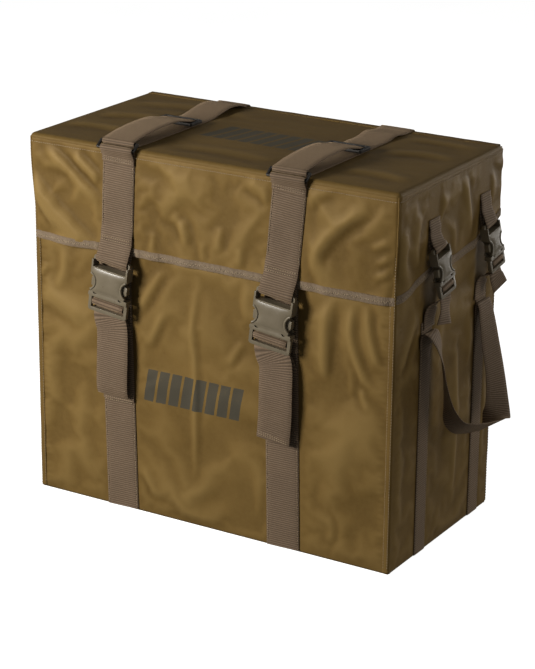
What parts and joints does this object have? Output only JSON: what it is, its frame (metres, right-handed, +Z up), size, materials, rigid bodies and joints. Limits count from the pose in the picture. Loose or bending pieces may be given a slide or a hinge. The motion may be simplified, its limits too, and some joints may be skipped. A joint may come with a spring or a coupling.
{
  "type": "slotted decoy bag with buckled lid",
  "caption": "Upright box-shaped fabric carrying bag with a hinged skirted lid, padded inner slots, webbing straps with side-release buckles, and side carry handles.",
  "frame": {"origin": "centre of the flat base that the bag stands on, midway between its sides and between the lid's front and the bag's back", "axes": "+Z up, +X to the bag's right as seen from the front, +Y towards the back; the front with its two straps faces -Y"},
  "size_m": [0.6764, 0.3079, 0.5318],
  "materials": {
    "nylon": "coated woven nylon, coyote brown, soft sheen",
    "lining": "plain woven lining and padded dividers",
    "board": "closed-cell foam board, matt",
    "webbing": "ribbed polypropylene webbing, tan-grey",
    "binding": "ribbed edge-binding tape",
    "buckle": "moulded acetal, olive-tan, satin gloss",
    "steel": "dark painted steel"
  },
  "bodies": {
    "bag": {"bottom_panel": "lining", "bottom_board": "board", "front_panel": "nylon", "back_panel": "nylon", "left_panel": "nylon", "right_panel": "nylon", "long_boards": "board", "side_boards": "board", "mouth_binding": "lining", "corner_seams": "lining", "long_divider": "lining", "cross_divider_left": "lining", "cross_divider_right": "lining", "front_straps": "webbing", "back_straps": "webbing", "side_tapes": "webbing"},
    "lid": {"lid_panel": "nylon", "lid_board": "board", "lid_front_skirt": "nylon", "lid_side_skirts": "nylon", "lid_binding": "binding", "lid_strap_left": "webbing", "lid_strap_right": "webbing", "top_strap_left": "webbing", "top_strap_right": "webbing", "adjuster_loop_left": "webbing", "adjuster_loop_right": "webbing", "strap_rings": "steel", "front_left_socket": "buckle", "front_right_socket": "buckle", "side_sockets": "buckle", "side_tabs": "webbing"},
    "slider_left": {"slider_left": "steel"},
    "slider_right": {"slider_right": "steel"},
    "left_handle": {"left_handle": "webbing"},
    "right_handle": {"right_handle": "webbing"},
    "front_left_plug": {"front_left_plug": "buckle", "front_left_webbing": "webbing"},
    "front_left_latch_l": {"front_left_latch_l": "buckle"},
    "front_left_latch_r": {"front_left_latch_r": "buckle"},
    "front_right_plug": {"front_right_plug": "buckle", "front_right_webbing": "webbing"},
    "front_right_latch_l": {"front_right_latch_l": "buckle"},
    "front_right_latch_r": {"front_right_latch_r": "buckle"},
    "right_front_plug": {"right_front_plug": "buckle", "right_front_webbing": "webbing"},
    "right_front_latch_l": {"right_front_latch_l": "buckle"},
    "right_front_latch_r": {"right_front_latch_r": "buckle"},
    "right_rear_plug": {"right_rear_plug": "buckle", "right_rear_webbing": "webbing"},
    "right_rear_latch_l": {"right_rear_latch_l": "buckle"},
    "right_rear_latch_r": {"right_rear_latch_r": "buckle"},
    "left_front_plug": {"left_front_plug": "buckle", "left_front_webbing": "webbing"},
    "left_front_latch_l": {"left_front_latch_l": "buckle"},
    "left_front_latch_r": {"left_front_latch_r": "buckle"},
    "left_rear_plug": {"left_rear_plug": "buckle", "left_rear_webbing": "webbing"},
    "left_rear_latch_l": {"left_rear_latch_l": "buckle"},
    "left_rear_latch_r": {"left_rear_latch_r": "buckle"}
  },
  "joints": [
    {"name": "lid_hinge", "type": "hinge", "parent": "bag", "child": "lid", "pos_m": [0, 0.145, 0.515], "axis": [-1, 0, 0], "range_deg": [0, 175]},
    {"name": "slider_left_adjust", "type": "slide", "parent": "lid", "child": "slider_left", "axis": [0, 1, 0], "range_m": [-0.015, 0.015], "deforming": ["adjuster_loop_left"]},
    {"name": "slider_right_adjust", "type": "slide", "parent": "lid", "child": "slider_right", "axis": [0, 1, 0], "range_m": [-0.015, 0.015], "deforming": ["adjuster_loop_right"]},
    {"name": "left_handle_swing", "type": "hinge", "parent": "bag", "child": "left_handle", "pos_m": [-0.2836, 0, 0.311], "axis": [0, 1, 0], "range_deg": [0, 75]},
    {"name": "right_handle_swing", "type": "hinge", "parent": "bag", "child": "right_handle", "pos_m": [0.2836, 0, 0.311], "axis": [0, -1, 0], "range_deg": [0, 75]},
    {"name": "front_left_release", "type": "slide", "parent": "bag", "child": "front_left_plug", "axis": [-0.1219, 0, -0.9925], "range_m": [0, 0.04], "deforming": ["front_left_webbing"]},
    {"name": "front_left_latch_l_squeeze", "type": "hinge", "parent": "front_left_plug", "child": "front_left_latch_l", "pos_m": [-0.16771, -0.1543, 0.31358], "axis": [0, 1, 0], "range_deg": [0, 6], "stiffness_Nm_per_rad": 0.02},
    {"name": "front_left_latch_r_squeeze", "type": "hinge", "parent": "front_left_plug", "child": "front_left_latch_r", "pos_m": [-0.12721, -0.1543, 0.3086], "axis": [0, -1, 0], "range_deg": [0, 6], "stiffness_Nm_per_rad": 0.02},
    {"name": "front_right_release", "type": "slide", "parent": "bag", "child": "front_right_plug", "axis": [-0.1219, 0, -0.9925], "range_m": [0, 0.04], "deforming": ["front_right_webbing"]},
    {"name": "front_right_latch_l_squeeze", "type": "hinge", "parent": "front_right_plug", "child": "front_right_latch_l", "pos_m": [0.08729, -0.1543, 0.31358], "axis": [0, 1, 0], "range_deg": [0, 6], "stiffness_Nm_per_rad": 0.02},
    {"name": "front_right_latch_r_squeeze", "type": "hinge", "parent": "front_right_plug", "child": "front_right_latch_r", "pos_m": [0.12779, -0.1543, 0.3086], "axis": [0, -1, 0], "range_deg": [0, 6], "stiffness_Nm_per_rad": 0.02},
    {"name": "right_front_release", "type": "slide", "parent": "bag", "child": "right_front_plug", "axis": [0.1392, 0.1549, -0.9781], "range_m": [0, 0.0336], "deforming": ["right_front_webbing"]},
    {"name": "right_front_latch_l_squeeze", "type": "hinge", "parent": "right_front_plug", "child": "right_front_latch_l", "pos_m": [0.29683, -0.05615, 0.38327], "axis": [-0.9903, 0.0218, -0.1375], "range_deg": [0, 6], "stiffness_Nm_per_rad": 0.02},
    {"name": "right_front_latch_r_squeeze", "type": "hinge", "parent": "right_front_plug", "child": "right_front_latch_r", "pos_m": [0.29683, -0.03498, 0.38663], "axis": [0.9903, -0.0218, 0.1375], "range_deg": [0, 6], "stiffness_Nm_per_rad": 0.02},
    {"name": "right_rear_release", "type": "slide", "parent": "bag", "child": "right_rear_plug", "axis": [0.1392, 0.1549, -0.9781], "range_m": [0, 0.0336], "deforming": ["right_rear_webbing"]},
    {"name": "right_rear_latch_l_squeeze", "type": "hinge", "parent": "right_rear_plug", "child": "right_rear_latch_l", "pos_m": [0.29683, 0.08984, 0.37927], "axis": [-0.9903, 0.0218, -0.1375], "range_deg": [0, 6], "stiffness_Nm_per_rad": 0.02},
    {"name": "right_rear_latch_r_squeeze", "type": "hinge", "parent": "right_rear_plug", "child": "right_rear_latch_r", "pos_m": [0.29683, 0.11102, 0.38263], "axis": [0.9903, -0.0218, 0.1375], "range_deg": [0, 6], "stiffness_Nm_per_rad": 0.02},
    {"name": "left_front_release", "type": "slide", "parent": "bag", "child": "left_front_plug", "axis": [-0.1392, 0.1549, -0.9781], "range_m": [0, 0.0336], "deforming": ["left_front_webbing"]},
    {"name": "left_front_latch_l_squeeze", "type": "hinge", "parent": "left_front_plug", "child": "left_front_latch_l", "pos_m": [-0.29683, -0.05615, 0.38327], "axis": [-0.9903, -0.0218, 0.1375], "range_deg": [0, 6], "stiffness_Nm_per_rad": 0.02},
    {"name": "left_front_latch_r_squeeze", "type": "hinge", "parent": "left_front_plug", "child": "left_front_latch_r", "pos_m": [-0.29683, -0.03498, 0.38663], "axis": [0.9903, 0.0218, -0.1375], "range_deg": [0, 6], "stiffness_Nm_per_rad": 0.02},
    {"name": "left_rear_release", "type": "slide", "parent": "bag", "child": "left_rear_plug", "axis": [-0.1392, 0.1549, -0.9781], "range_m": [0, 0.0336], "deforming": ["left_rear_webbing"]},
    {"name": "left_rear_latch_l_squeeze", "type": "hinge", "parent": "left_rear_plug", "child": "left_rear_latch_l", "pos_m": [-0.29683, 0.08984, 0.37927], "axis": [-0.9903, -0.0218, 0.1375], "range_deg": [0, 6], "stiffness_Nm_per_rad": 0.02},
    {"name": "left_rear_latch_r_squeeze", "type": "hinge", "parent": "left_rear_plug", "child": "left_rear_latch_r", "pos_m": [-0.29683, 0.11102, 0.38263], "axis": [0.9903, 0.0218, -0.1375], "range_deg": [0, 6], "stiffness_Nm_per_rad": 0.02}
  ],
  "couplings": [
    {"joint": "front_left_latch_r_squeeze", "follows": "front_left_latch_l_squeeze", "ratio": 1},
    {"joint": "front_right_latch_r_squeeze", "follows": "front_right_latch_l_squeeze", "ratio": 1},
    {"joint": "right_front_latch_r_squeeze", "follows": "right_front_latch_l_squeeze", "ratio": 1},
    {"joint": "right_rear_latch_r_squeeze", "follows": "right_rear_latch_l_squeeze", "ratio": 1},
    {"joint": "left_front_latch_r_squeeze", "follows": "left_front_latch_l_squeeze", "ratio": 1},
    {"joint": "left_rear_latch_r_squeeze", "follows": "left_rear_latch_l_squeeze", "ratio": 1}
  ]
}
